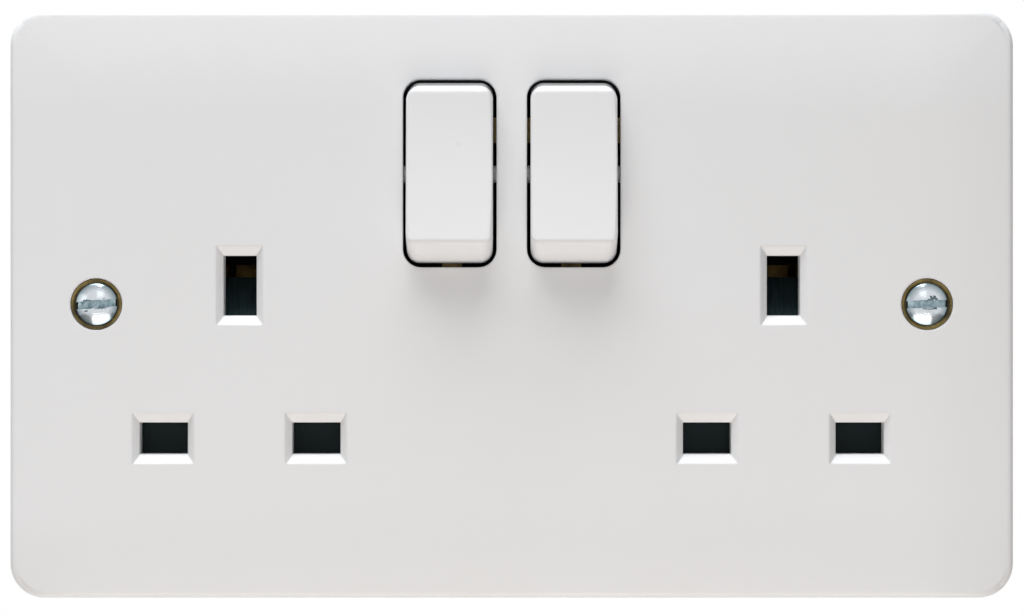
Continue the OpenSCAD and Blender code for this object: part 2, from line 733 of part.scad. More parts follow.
module shutter(side) {
    back = shutter_z - shutter_t;
    run = ramp_high - ramp_low;
    color(black) wall_frame() translate([side * outlet_x, 0, 0]) union() {
        translate([0, live_y, 0]) slab(cover[0], cover[1], 0.8, back, shutter_z);
        for (s = [-1, 1]) block_between([s * rail_in, live_y, back], [s * rail_out, ramp_high, shutter_z]);
        along_x(2 * rail_in + 0.4) polygon([[ramp_foot, shutter_z], [ramp_low, shutter_z],
            [ramp_high, shutter_z - run], [ramp_high, shutter_z - run - 1],
            [ramp_high - 1, shutter_z - run - 1], [ramp_foot, back - shutter_spring_d / 2]]);
    }
}

module shutter_spring(side) {
    from = peg_y + 0.8 + fit;
    color(steel) wall_frame() translate([side * outlet_x, from, shutter_z - shutter_t / 2]) rotate([-90, 0, 0])
        coil(ramp_foot - fit - from, shutter_spring_d, 0.4, 6);
}

// Rear housing

module housing_boss(p) {
    translate([p[0], p[1], -housing_d]) cylinder(d = boss_d, h = split_z + housing_d);
}

module terminal_pocket_walls(x) {
    inner = block[0] / 2 + fit;
    low = terminal_y - block[1] / 2 - fit;
    block_between([x - inner - barrier_t, low - barrier_t, -housing_d], [x + inner + barrier_t, housing[1] / 2, block_z]);
}

module terminal_pocket(x) {
    inner = block[0] / 2 + fit;
    low = terminal_y - block[1] / 2 - fit;
    block_between([x - inner, low, -housing_d - cut], [x + inner, housing[1] / 2 + cut, block_z + cut / 4]);
}

// Upright that a strip rests on
module rest_post(x, y, w, h, top) {
    block_between([x - w / 2, y - h / 2, -housing_d + housing_t / 2], [x + w / 2, y + h / 2, top]);
}

module housing_supports() {
    rest_post(0, fixed_y, 2.4, 3, block_z);
    for (s = [left, right]) {
        rest_post(s * rocker_x, rocker_y, 5, 2, block_z);
        rest_post(s * rocker_x, run_y, 1.6, 3, block_z);
        // barrier between the two live grips, which the shutter's cover slides on
        rest_post(s * outlet_x, live_y - 2.5, 6, 9.8, shutter_z - shutter_t - fit);
        rest_post(s * outlet_x, run_y + 1, 5, barrier_t, block_z);
        rest_post(s * outlet_x, earth_y, 3, earth_bar_w, earth_z - strip_t);
        for (t = [-1, 1]) {
            rest_post(s * outlet_x + t * pin_pitch / 2, live_y, 4, 3, block_z);
            // walls beside the earth grip, which the rails slide on
            rest_post(s * outlet_x + t * (rail_out - 0.5), earth_y - 6.7, 1, 4, shutter_z - shutter_t - fit);
        }
    }
    rest_post(0, neutral_low_y, 6, barrier_t, block_z);
    rest_post(-outlet_x, neutral_low_y, 6, barrier_t, block_z);
    rest_post(outlet_x - pin_pitch / 2, neutral_low_y + 1, 3, 2, block_z);
}

module rear_housing() {
    color(housing_colour) wall_frame() difference() {
        union() {
            difference() {
                slab(housing[0], housing[1], housing_r, -housing_d, housing_rim);
                slab(housing[0] - 2 * housing_t, housing[1] - 2 * housing_t, housing_r - housing_t / 2, floor_z,
                    housing_rim + cut);
            }
            for (s = [left, right]) {
                for (p = [boss_upper, boss_lower]) housing_boss([s * p[0], p[1]]);
                for (x = [live_terminal_x, earth_terminal_x]) terminal_pocket_walls(s * x);
            }
            housing_supports();
        }
        for (s = [left, right]) {
            for (x = [live_terminal_x, earth_terminal_x]) terminal_pocket(s * x);
            for (p = [boss_upper, boss_lower]) translate([s * p[0], p[1], -housing_d]) {
                translate([0, 0, -cut]) cylinder(d = assembly_d + 2 * fit, h = housing_d + cut + 2);
                translate([0, 0, -cut]) cylinder(d = assembly_head[0] + 2 * fit, h = assembly_head[1] + fit + cut);
            }
        }
    }
}

// Fixings

module eyelet(side) {
    front = plate_d - flange_sink;
    back = front - flange_t;
    outer = eyelet_d / 2;
    neck = eyelet_neck_d / 2;
    color(brass) wall_frame() translate([side * fix_pitch / 2, 0, 0]) rotate_extrude() polygon([
        [neck_bore, ring_z - 0.9], [neck + 1.3, ring_z - 0.9], [neck + 1.3, ring_z - fit],
        [neck, ring_z - fit], [neck, back], [outer, back], [outer, front], [seat_mouth, front],
        [neck_bore, front - (seat_mouth - neck_bore)]]);
}

module fixing_screw(side) {
    rim = fix_head_d / 2;
    under = fix_thread_d / 2 - 0.4;       // waisted shank in front of the wall plane
    rim_z = plate_d - flange_sink - (seat_mouth - rim) + fit;
    ball = (pow(rim, 2) + pow(fix_dome_h, 2)) / (2 * fix_dome_h);
    turn = side < 0 ? fix_slot_turn[0] : fix_slot_turn[1];
    color(steel) wall_frame() translate([side * fix_pitch / 2, 0, 0]) difference() {
        union() {
            translate([0, 0, rim_z - (rim - under)]) cylinder(r1 = under, r2 = rim, h = rim - under);
            intersection() {
                translate([0, 0, rim_z + fix_dome_h - ball]) sphere(ball);
                translate([0, 0, rim_z]) cylinder(r = rim, h = fix_dome_h + cut);
            }
            cylinder(r = under, h = rim_z - (rim - under));
            translate([0, 0, -fix_thread_l]) cylinder(d = fix_thread_d, h = fix_thread_l);
            translate([0, 0, -fix_thread_l - 1]) cylinder(d1 = fix_thread_d - 2, d2 = fix_thread_d, h = 1);
        }
        translate([0, 0, rim_z + fix_dome_h]) rotate(turn) cube([fix_head_d + cut, fix_slot_w, 2.2], center = true);
    }
}

module assembly_screws() {
    color(steel) wall_frame() for (s = [left, right], p = [boss_upper, boss_lower])
        translate([s * p[0], p[1], -housing_d]) difference() {
            union() {
                translate([0, 0, 0.1]) cylinder(d = assembly_head[0], h = assembly_head[1] - 0.1);
                cylinder(d = assembly_d, h = housing_d + 5);
            }
            cube([assembly_head[0] + cut, 0.8, 1.6], center = true);
        }
}

wall_frame() front_plate();
rear_housing();
rocker(left);  // rocker_left
rocker(right);  // rocker_right
plunger(left);  // plunger_left
plunger(right);  // plunger_right
plunger_spring(left);  // plunger_spring_left
plunger_spring(right);  // plunger_spring_right
moving_contact(left);  // moving_contact_left
moving_contact(right);  // moving_contact_right
moving_tip(left);  // moving_tip_left
moving_tip(right);  // moving_tip_right
fixed_tips();
line_busbar();
line_outlet(left);  // line_outlet_left
line_outlet(right);  // line_outlet_right
neutral_busbar();
earth_bar();
terminal(live_terminal_x);  // line_terminal
terminal(-live_terminal_x);  // neutral_terminal
terminal(-earth_terminal_x);  // earth_terminal_left
terminal(earth_terminal_x);  // earth_terminal_right
clamp_screw(live_terminal_x, clamp_turn[0]);  // line_clamp_screw
clamp_screw(-live_terminal_x, clamp_turn[1]);  // neutral_clamp_screw
clamp_screw(-earth_terminal_x, clamp_turn[2]);  // earth_clamp_screw_left
clamp_screw(earth_terminal_x, clamp_turn[3]);  // earth_clamp_screw_right
shutter(left);  // shutter_left
shutter(right);  // shutter_right
shutter_spring(left);  // shutter_spring_left
shutter_spring(right);  // shutter_spring_right
fixing_screw(left);  // fixing_screw_left
fixing_screw(right);  // fixing_screw_right
eyelet(left);  // eyelet_left
eyelet(right);  // eyelet_right
assembly_screws();
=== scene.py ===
import math
import random

import bmesh
import bpy
from mathutils import Matrix, Vector


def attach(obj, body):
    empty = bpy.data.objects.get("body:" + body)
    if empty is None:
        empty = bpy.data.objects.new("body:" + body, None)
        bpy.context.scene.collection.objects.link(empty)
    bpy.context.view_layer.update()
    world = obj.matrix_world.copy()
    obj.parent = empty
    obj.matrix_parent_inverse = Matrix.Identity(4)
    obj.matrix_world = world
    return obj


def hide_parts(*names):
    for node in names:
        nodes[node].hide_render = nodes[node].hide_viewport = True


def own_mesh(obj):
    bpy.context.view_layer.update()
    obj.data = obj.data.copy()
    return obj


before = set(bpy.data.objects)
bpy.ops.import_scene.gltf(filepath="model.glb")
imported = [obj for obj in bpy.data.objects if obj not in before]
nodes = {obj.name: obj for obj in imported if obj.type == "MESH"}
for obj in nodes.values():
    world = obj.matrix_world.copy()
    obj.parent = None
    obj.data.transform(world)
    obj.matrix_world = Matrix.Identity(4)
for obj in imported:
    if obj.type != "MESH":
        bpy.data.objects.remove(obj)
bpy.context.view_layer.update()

mm = 0.001
print("frame loaded:", len(nodes), "nodes")

# helpers for materials


def newMaterial(name):
    mat = bpy.data.materials.new(name)
    mat.use_nodes = True
    tree = mat.node_tree
    return mat, tree, tree.nodes["Principled BSDF"]


def addNode(tree, kind, place=(0, 0), **settings):
    node = tree.nodes.new(kind)
    node.location = place
    for key, value in settings.items():
        setattr(node, key, value)
    return node


def setInputs(node, **values):
    for key, value in values.items():
        node.inputs[key].default_value = value


def useGroup(tree, name, place=(-600, 0), **values):
    node = addNode(tree, "ShaderNodeGroup", place, node_tree=bpy.data.node_groups[name])
    setInputs(node, **values)
    return node


def newGroup(name, inputs, outputs):
    # inputs: label and value, where a tuple makes a vector; outputs: labels of plain values
    tree = bpy.data.node_groups.new(name, "ShaderNodeTree")
    for label, value in inputs.items():
        kind = "NodeSocketVector" if isinstance(value, tuple) else "NodeSocketFloat"
        tree.interface.new_socket(label, in_out="INPUT", socket_type=kind).default_value = value
    for label in outputs:
        tree.interface.new_socket(label, in_out="OUTPUT", socket_type="NodeSocketFloat")
    return tree, addNode(tree, "NodeGroupInput", (-900, 0)), addNode(tree, "NodeGroupOutput", (500, 0))


def mixColours(tree, mask, first, second, place=(-250, 100)):
    node = addNode(tree, "ShaderNodeMix", place, data_type="RGBA")
    node.inputs["A"].default_value = (*first, 1)
    node.inputs["B"].default_value = (*second, 1)
    tree.links.new(mask, node.inputs["Factor"])
    return node.outputs["Result"]


def tint(tree, base, colour, mask, place):
    node = addNode(tree, "ShaderNodeMix", place, data_type="RGBA")
    node.inputs["B"].default_value = (*colour, 1)
    tree.links.new(base, node.inputs["A"])
    tree.links.new(mask, node.inputs["Factor"])
    return node.outputs["Result"]


def times(tree, source, share, place):
    node = addNode(tree, "ShaderNodeMath", place, operation="MULTIPLY")
    node.inputs[1].default_value = share
    tree.links.new(source, node.inputs[0])
    return node.outputs["Value"]


def spread(tree, source, low, high, place=(-250, -100), ends=(0, 1)):
    node = addNode(tree, "ShaderNodeMapRange", place)
    setInputs(node, **{"From Min": ends[0], "From Max": ends[1], "To Min": low, "To Max": high})
    tree.links.new(source, node.inputs["Value"])
    return node.outputs["Result"]


def bump(tree, height, depth, place=(-250, -300), strength=1, normal=None):
    node = addNode(tree, "ShaderNodeBump", place)
    setInputs(node, Strength=strength, Distance=depth)
    tree.links.new(height, node.inputs["Height"])
    if normal:
        tree.links.new(normal, node.inputs["Normal"])
    return node.outputs["Normal"]


# effects shared by the materials


def makeMouldedGrain():
    # spark-eroded tool surface: fine pits, slow flow clouds and a few specks
    tree, given, out = newGroup("mouldedGrain", {"Grain": 2600, "Cloud": 22, "Speck": 420},
                                ["Height", "Clouds", "Specks"])
    at = addNode(tree, "ShaderNodeTexCoord", (-900, 250))
    fine = addNode(tree, "ShaderNodeTexNoise", (-600, 250))
    setInputs(fine, Detail=3, Roughness=0.6)
    slow = addNode(tree, "ShaderNodeTexNoise", (-600, 0))
    setInputs(slow, Detail=4, Roughness=0.55, Distortion=0.6)
    dots = addNode(tree, "ShaderNodeTexVoronoi", (-600, -250))
    for node, label in ((fine, "Grain"), (slow, "Cloud"), (dots, "Speck")):
        tree.links.new(at.outputs["Object"], node.inputs["Vector"])
        tree.links.new(given.outputs[label], node.inputs["Scale"])
    tree.links.new(fine.outputs["Fac"], out.inputs["Height"])
    clouds = spread(tree, slow.outputs["Fac"], 0, 1, (-300, 0), (0.3, 0.7))
    tree.links.new(clouds, out.inputs["Clouds"])
    specks = spread(tree, dots.outputs["Distance"], 1, 0, (-300, -250), (0.05, 0.12))
    tree.links.new(specks, out.inputs["Specks"])


def makeEdgeRub():
    # corners that hands and tools have polished, broken up by noise
    tree, given, out = newGroup("edgeRub", {"Start": 0.52, "End": 0.6, "Patches": 300}, ["Edges"])
    shape = addNode(tree, "ShaderNodeNewGeometry", (-900, 250))
    at = addNode(tree, "ShaderNodeTexCoord", (-900, -250))
    patches = addNode(tree, "ShaderNodeTexNoise", (-600, -250))
    setInputs(patches, Detail=5, Roughness=0.65)
    tree.links.new(at.outputs["Object"], patches.inputs["Vector"])
    tree.links.new(given.outputs["Patches"], patches.inputs["Scale"])
    edges = addNode(tree, "ShaderNodeMapRange", (-600, 250))
    tree.links.new(shape.outputs["Pointiness"], edges.inputs["Value"])
    tree.links.new(given.outputs["Start"], edges.inputs["From Min"])
    tree.links.new(given.outputs["End"], edges.inputs["From Max"])
    broken = addNode(tree, "ShaderNodeMath", (-250, 200), operation="MULTIPLY")
    tree.links.new(edges.outputs["Result"], broken.inputs[0])
    holes = spread(tree, patches.outputs["Fac"], 0.2, 1, (-420, -250), (0.35, 0.65))
    tree.links.new(holes, broken.inputs[1])
    tree.links.new(broken.outputs["Value"], out.inputs["Edges"])


def makeTarnish():
    # stains that creep over bare metal in ragged blotches
    tree, given, out = newGroup("tarnish", {"Blotch": 180, "Cover": 0.5}, ["Mask"])
    at = addNode(tree, "ShaderNodeTexCoord", (-900, 250))
    large = addNode(tree, "ShaderNodeTexNoise", (-600, 200))
    setInputs(large, Detail=6, Roughness=0.62, Distortion=1.2)
    tree.links.new(at.outputs["Object"], large.inputs["Vector"])
    tree.links.new(given.outputs["Blotch"], large.inputs["Scale"])
    shifted = addNode(tree, "ShaderNodeMath", (-350, 200), operation="ADD")
    tree.links.new(large.outputs["Fac"], shifted.inputs[0])
    tree.links.new(given.outputs["Cover"], shifted.inputs[1])
    mask = spread(tree, shifted.outputs["Value"], 0, 1, (-100, 200), (0.86, 1.14))
    tree.links.new(mask, out.inputs["Mask"])


def makeDrawnLines():
    # fine parallel lines that rolling, drawing or brushing leaves in metal
    tree, given, out = newGroup("drawnLines", {"Stretch": (1, 1, 1)}, ["Height", "Streaks"])
    at = addNode(tree, "ShaderNodeTexCoord", (-900, 250))
    pulled = addNode(tree, "ShaderNodeVectorMath", (-650, 200), operation="MULTIPLY")
    tree.links.new(at.outputs["Object"], pulled.inputs[0])
    tree.links.new(given.outputs["Stretch"], pulled.inputs[1])
    for label, scale, y in (("Height", 1, 200), ("Streaks", 0.17, -100)):
        lines = addNode(tree, "ShaderNodeTexNoise", (-250, y))
        setInputs(lines, Scale=scale, Detail=3, Roughness=0.6)
        tree.links.new(pulled.outputs["Vector"], lines.inputs["Vector"])
        tree.links.new(spread(tree, lines.outputs["Fac"], 0, 1, (0, y), (0.3, 0.7)), out.inputs[label])


def makeTurnedRings():
    # tool marks round an axis along Y, and how far a point lies from that axis
    tree, given, out = newGroup("turnedRings", {"Centre": (0, 0, 0), "Pitch": 0.12 * mm},
                                ["Height", "Radius"])
    at = addNode(tree, "ShaderNodeTexCoord", (-900, 250))
    moved = addNode(tree, "ShaderNodeVectorMath", (-700, 200), operation="SUBTRACT")
    tree.links.new(at.outputs["Object"], moved.inputs[0])
    tree.links.new(given.outputs["Centre"], moved.inputs[1])
    flat = addNode(tree, "ShaderNodeVectorMath", (-520, 200), operation="MULTIPLY")
    flat.inputs[1].default_value = (1, 0, 1)
    tree.links.new(moved.outputs["Vector"], flat.inputs[0])
    radius = addNode(tree, "ShaderNodeVectorMath", (-340, 200), operation="LENGTH")
    tree.links.new(flat.outputs["Vector"], radius.inputs[0])
    turns = addNode(tree, "ShaderNodeMath", (-150, 200), operation="DIVIDE")
    tree.links.new(radius.outputs["Value"], turns.inputs[0])
    tree.links.new(given.outputs["Pitch"], turns.inputs[1])
    waves = addNode(tree, "ShaderNodeMath", (50, 200), operation="SINE")
    tree.links.new(turns.outputs["Value"], waves.inputs[0])
    tree.links.new(waves.outputs["Value"], out.inputs["Height"])
    tree.links.new(radius.outputs["Value"], out.inputs["Radius"])


def makeCamRubAndPaintedLight():
    # the part of a shutter that the earth pin slides on: rub streaks along the pin's way, and a paler teal
    # that rises with height as painted light on the ramp in the shaded slot
    tree, given, out = newGroup("camRubAndPaintedLight", {"Start": -3.5 * mm, "End": -1.5 * mm}, ["Mask"])
    at = addNode(tree, "ShaderNodeTexCoord", (-900, 250))
    apart = addNode(tree, "ShaderNodeSeparateXYZ", (-720, 250))
    tree.links.new(at.outputs["Object"], apart.inputs["Vector"])
    # painted light: the paler teal rises from none at Start to full at End along the height
    reach = addNode(tree, "ShaderNodeMapRange", (-500, 250))
    tree.links.new(apart.outputs["Z"], reach.inputs["Value"])
    tree.links.new(given.outputs["Start"], reach.inputs["From Min"])
    tree.links.new(given.outputs["End"], reach.inputs["From Max"])
    stretched = addNode(tree, "ShaderNodeVectorMath", (-720, -100), operation="MULTIPLY")
    stretched.inputs[1].default_value = (2600, 260, 260)
    tree.links.new(at.outputs["Object"], stretched.inputs[0])
    streaks = addNode(tree, "ShaderNodeTexNoise", (-500, -100))
    setInputs(streaks, Scale=1, Detail=3)
    tree.links.new(stretched.outputs["Vector"], streaks.inputs["Vector"])
    both = addNode(tree, "ShaderNodeMath", (100, 100), operation="MULTIPLY")
    tree.links.new(reach.outputs["Result"], both.inputs[0])
    worn = spread(tree, streaks.outputs["Fac"], 0.55, 1, (-200, -100), (0.35, 0.65))
    tree.links.new(worn, both.inputs[1])
    tree.links.new(both.outputs["Value"], out.inputs["Mask"])


def makeSoftCrown():
    # height that turns the creases between the crowned bands, at the plate's corners, into one soft dome
    bands = {"Half Width": 59 * mm, "Half Height": 28.75 * mm, "Radius": 90 * mm}
    tree, given, out = newGroup("softCrown", bands, ["Height"])
    at = addNode(tree, "ShaderNodeTexCoord", (-900, 250))
    apart = addNode(tree, "ShaderNodeSeparateXYZ", (-720, 250))
    tree.links.new(at.outputs["Object"], apart.inputs["Vector"])
    falls = []
    for axis, label, y in (("X", "Half Width", 250), ("Z", "Half Height", -50)):
        size = addNode(tree, "ShaderNodeMath", (-560, y), operation="ABSOLUTE")
        tree.links.new(apart.outputs[axis], size.inputs[0])
        past = addNode(tree, "ShaderNodeMath", (-420, y), operation="SUBTRACT")
        tree.links.new(size.outputs["Value"], past.inputs[0])
        tree.links.new(given.outputs[label], past.inputs[1])
        band = addNode(tree, "ShaderNodeMath", (-280, y), operation="MAXIMUM")
        tree.links.new(past.outputs["Value"], band.inputs[0])
        band.inputs[1].default_value = 0
        square = addNode(tree, "ShaderNodeMath", (-140, y), operation="MULTIPLY")
        for i in (0, 1):
            tree.links.new(band.outputs["Value"], square.inputs[i])
        falls.append(square.outputs["Value"])
    least = addNode(tree, "ShaderNodeMath", (0, 100), operation="MINIMUM")
    for i, fall in enumerate(falls):
        tree.links.new(fall, least.inputs[i])
    depth = addNode(tree, "ShaderNodeMath", (160, 100), operation="DIVIDE")
    tree.links.new(least.outputs["Value"], depth.inputs[0])
    tree.links.new(given.outputs["Radius"], depth.inputs[1])
    tree.links.new(times(tree, depth.outputs["Value"], -0.5, (320, 100)), out.inputs["Height"])


for makeEffect in (makeMouldedGrain, makeEdgeRub, makeTarnish, makeDrawnLines, makeTurnedRings, makeCamRubAndPaintedLight,
                   makeSoftCrown):
    makeEffect()
print("effects built:", len(bpy.data.node_groups))

# materials

whiteUrea = {"colour": (0.737, 0.744, 0.756), "warmer": (0.727, 0.731, 0.736), "roughness": (0.3, 0.4),
             "grain": 0.004 * mm, "softEdge": 0.5 * mm}
mouldedGloss = {"rub": -0.08, "speckShare": 0.1, "specular": 0.5}


def moulded(name, look):
    # moulded thermoset: soft edges, a grain too fine to feel, and slow clouds in colour and gloss
    mat, tree, shader = newMaterial(name)
    grain = useGroup(tree, "mouldedGrain", (-800, 0), Grain=look.get("grainScale", 2600),
                     Cloud=look.get("cloudScale", 22))
    tone = mixColours(tree, grain.outputs["Clouds"], look["colour"], look["warmer"], (-450, 300))
    faint = times(tree, grain.outputs["Specks"], look.get("specks", mouldedGloss["speckShare"]), (-450, 120))
    base = tint(tree, tone, look.get("speckColour", look["warmer"]), faint, (-250, 300))
    # a shutter's ramp gets painted light in a paler teal, broken by rub streaks
    if look.get("camRubAndLightColour"):
        camRubAndLight = useGroup(tree, "camRubAndPaintedLight", (-450, 480))
        base = tint(tree, base, look["camRubAndLightColour"], camRubAndLight.outputs["Mask"], (-100, 400))
    tree.links.new(base, shader.inputs["Base Color"])
    gloss = spread(tree, grain.outputs["Clouds"], *look["roughness"], (-450, -60))
    if look.get("rubbed"):
        rub = useGroup(tree, "edgeRub", (-800, -300))
        polished = addNode(tree, "ShaderNodeMath", (-450, -240), operation="MULTIPLY_ADD")
        polished.inputs[1].default_value = mouldedGloss["rub"]
        tree.links.new(rub.outputs["Edges"], polished.inputs[0])
        tree.links.new(gloss, polished.inputs[2])
        gloss = polished.outputs["Value"]
    tree.links.new(gloss, shader.inputs["Roughness"])
    shader.inputs["Specular IOR Level"].default_value = look.get("specular", mouldedGloss["specular"])
    soft = None
    if look.get("softEdge"):
        soft = addNode(tree, "ShaderNodeBevel", (-450, -420), samples=6)
        soft.inputs["Radius"].default_value = look["softEdge"]
        soft = soft.outputs["Normal"]
    if look.get("crowned"):
        crown = useGroup(tree, "softCrown", (-650, -520))
        soft = bump(tree, crown.outputs["Height"], 1, (-350, -520), normal=soft)
    tree.links.new(bump(tree, grain.outputs["Height"], look["grain"], normal=soft), shader.inputs["Normal"])
    return mat


platePlastic = moulded("whiteUreaPlate", {**whiteUrea, "crowned": True})
rockerPlastic = moulded("whiteUreaRocker", {**whiteUrea, "roughness": (0.26, 0.34)})
charcoalPlastic = moulded("charcoalThermoset", {
    "colour": (0.024, 0.027, 0.030), "warmer": (0.034, 0.036, 0.038), "roughness": (0.42, 0.58),
    "grain": 0.012 * mm, "grainScale": 1700, "cloudScale": 34, "specks": 0.35,
    "speckColour": (0.06, 0.062, 0.064), "specular": 0.25, "rubbed": True})
# the shutters: black acetal, with painted light in a paler teal on the ramp in the earth slot, and rub
# streaks along it
blackPlastic = moulded("blackAcetal", {
    "colour": (0.0062, 0.0125, 0.0145), "warmer": (0.0085, 0.0155, 0.0175), "roughness": (0.36, 0.5),
    "grain": 0.01 * mm, "grainScale": 2100, "cloudScale": 120, "specks": 0.3,
    "speckColour": (0.016, 0.018, 0.019), "specular": 0.1, "rubbed": True, "camRubAndLightColour": (0.036, 0.064, 0.07)})


def stripMetal(name, look):
    # rolled or drawn metal: lines along its run, stains, and bright rubbed edges
    mat, tree, shader = newMaterial(name)
    lines = useGroup(tree, "drawnLines", (-900, 0), Stretch=look.get("stretch", (900, 900, 9000)))
    stain = useGroup(tree, "tarnish", (-900, -200), Blotch=look.get("blotch", 180),
                     Cover=look.get("cover", 0.5))
    rub = useGroup(tree, "edgeRub", (-900, -400))
    streaky = mixColours(tree, lines.outputs["Streaks"], look["colour"], look["streak"], (-650, 300))
    stained = tint(tree, streaky, look["stain"], stain.outputs["Mask"], (-450, 300))
    worn = tint(tree, stained, look["bare"], rub.outputs["Edges"], (-250, 300))
    tree.links.new(worn, shader.inputs["Base Color"])
    shader.inputs["Metallic"].default_value = look.get("metallic", 1)
    gloss = spread(tree, stain.outputs["Mask"], *look["roughness"], (-250, -60))
    tree.links.new(gloss, shader.inputs["Roughness"])
    relief = bump(tree, lines.outputs["Height"], look.get("lineDepth", 0.006 * mm))
    tree.links.new(relief, shader.inputs["Normal"])
    return mat


brassLook = {"colour": (0.62, 0.44, 0.17), "streak": (0.55, 0.385, 0.145), "stain": (0.32, 0.2, 0.08),
             "bare": (0.8, 0.62, 0.3), "roughness": (0.26, 0.46)}
brassStrip = stripMetal("rolledBrass", brassLook)
brassBlock = stripMetal("sawnBrass", {
    **brassLook, "stretch": (9000, 900, 900), "blotch": 260, "cover": 0.44, "lineDepth": 0.01 * mm})
# earth bar: brass painted almost black, as painted shade for the recess behind the earth slots, with stains
# and rubbed edges as on the other brass
brassInPaintedShade = stripMetal("brassInPaintedShade", {
    "colour": (0.022, 0.0165, 0.0085), "streak": (0.017, 0.0135, 0.0075), "stain": (0.009, 0.0085, 0.006),
    "bare": (0.34, 0.21, 0.07), "roughness": (0.4, 0.6), "blotch": 200, "cover": 0.52})
# eyelets: brass painted dark olive, as painted shade for their rims in shadow round the screw heads, with
# stains and rubbed edges
eyeletBrassInPaintedShade = stripMetal("brassPaintedShadeForEyelets", {
    "colour": (0.036, 0.029, 0.015), "streak": (0.028, 0.023, 0.013), "stain": (0.012, 0.012, 0.01),
    "bare": (0.26, 0.19, 0.065), "roughness": (0.34, 0.5), "blotch": 240, "cover": 0.56,
    "stretch": (2500, 2500, 2500), "metallic": 0.85})
springSteel = stripMetal("springSteel", {
    "colour": (0.5, 0.51, 0.52), "streak": (0.42, 0.43, 0.44), "stain": (0.26, 0.25, 0.23),
    "bare": (0.7, 0.7, 0.7), "roughness": (0.24, 0.4),
    "stretch": (2400, 2400, 700), "blotch": 500, "cover": 0.4})
zincSteel = stripMetal("zincPlatedSteel", {
    "colour": (0.66, 0.68, 0.7), "streak": (0.56, 0.59, 0.62), "stain": (0.42, 0.4, 0.33),
    "bare": (0.82, 0.83, 0.84), "roughness": (0.24, 0.42),
    "stretch": (2600, 1200, 2600), "blotch": 330, "cover": 0.42})
silverRivet = stripMetal("silverRivet", {
    "colour": (0.78, 0.77, 0.74), "streak": (0.7, 0.69, 0.66), "stain": (0.36, 0.33, 0.28),
    "bare": (0.88, 0.87, 0.85), "roughness": (0.22, 0.45),
    "stretch": (4000, 4000, 4000), "blotch": 700, "cover": 0.46})

# rim: the dark blue-grey that the dome fades to towards its edge between the two radii given after it, a
# painted reflection; stain and stainShare: faint stains
screwLook = {"colour": (0.62, 0.66, 0.69), "rim": (0.2, 0.26, 0.29), "stain": (0.3, 0.36, 0.39),
             "stainShare": 0.45, "roughness": (0.16, 0.2), "paintedReflectionRadius": (1.9 * mm, 2.95 * mm),
             "ringPitch": 0.05 * mm, "ringDepth": 0.002 * mm}


def screwHead(name, centre):
    # bright plated dome whose colour darkens to its rim as a painted reflection, with turned rings and faint
    # stains
    mat, tree, shader = newMaterial(name)
    rings = useGroup(tree, "turnedRings", (-900, 200), Centre=centre, Pitch=screwLook["ringPitch"])
    stain = useGroup(tree, "tarnish", (-900, -100), Blotch=420, Cover=0.36)
    # painted reflection: the dome's colour fades to the dark rim colour between two radii from its axis
    paintedReflectionMask = spread(tree, rings.outputs["Radius"], 0, 1, (-650, 300), screwLook["paintedReflectionRadius"])
    dome = mixColours(tree, paintedReflectionMask, screwLook["colour"], screwLook["rim"], (-450, 300))
    faint = times(tree, stain.outputs["Mask"], screwLook["stainShare"], (-450, 60))
    stained = tint(tree, dome, screwLook["stain"], faint, (-250, 300))
    tree.links.new(stained, shader.inputs["Base Color"])
    shader.inputs["Metallic"].default_value = 1
    gloss = spread(tree, stain.outputs["Mask"], *screwLook["roughness"], (-250, -60))
    tree.links.new(gloss, shader.inputs["Roughness"])
    tree.links.new(bump(tree, rings.outputs["Height"], screwLook["ringDepth"]), shader.inputs["Normal"])
    return mat


slotLook = {"colour": (0.36, 0.5, 0.55), "streak": (0.56, 0.66, 0.7), "stain": (0.16, 0.25, 0.29),
            "metallic": 0.6, "roughness": (0.3, 0.55), "dragDepth": 0.02 * mm}


def slotMetal(name):
    # the slot's floor and sides: dull blue-grey plating with drag marks and dark stains
    mat, tree, shader = newMaterial(name)
    lines = useGroup(tree, "drawnLines", (-900, 0), Stretch=(500, 3000, 4200))
    stain = useGroup(tree, "tarnish", (-900, -250), Blotch=900, Cover=0.46)
    base = mixColours(tree, lines.outputs["Streaks"], slotLook["colour"], slotLook["streak"], (-500, 250))
    stained = tint(tree, base, slotLook["stain"], stain.outputs["Mask"], (-250, 250))
    tree.links.new(stained, shader.inputs["Base Color"])
    shader.inputs["Metallic"].default_value = slotLook["metallic"]
    tree.links.new(spread(tree, lines.outputs["Streaks"], *slotLook["roughness"]), shader.inputs["Roughness"])
    tree.links.new(bump(tree, lines.outputs["Height"], slotLook["dragDepth"]), shader.inputs["Normal"])
    return mat


slotPlating = slotMetal("slotPlating")
shardSteel = stripMetal("tornPlating", {
    "colour": (0.03, 0.045, 0.055), "streak": (0.05, 0.07, 0.08), "stain": (0.016, 0.022, 0.028),
    "bare": (0.2, 0.28, 0.32), "roughness": (0.35, 0.6), "blotch": 900, "cover": 0.5,
    "stretch": (700, 3000, 3000), "metallic": 0.5})


def dress(mat, *names):
    for name in names:
        data = nodes[name].data
        data.materials.clear()
        data.materials.append(mat)


dress(platePlastic, "front_plate")
dress(rockerPlastic, "rocker_left", "rocker_right")
dress(charcoalPlastic, "rear_housing")
dress(blackPlastic, "shutter_left", "shutter_right")
dress(brassStrip, "line_busbar", "line_outlet_left", "line_outlet_right", "neutral_busbar",
      "moving_contact_left", "moving_contact_right")
# the earth bar wears brass in painted shade
dress(brassInPaintedShade, "earth_bar")
dress(brassBlock, "line_terminal", "neutral_terminal", "earth_terminal_left", "earth_terminal_right")
dress(silverRivet, "fixed_tips", "moving_tip_left", "moving_tip_right")
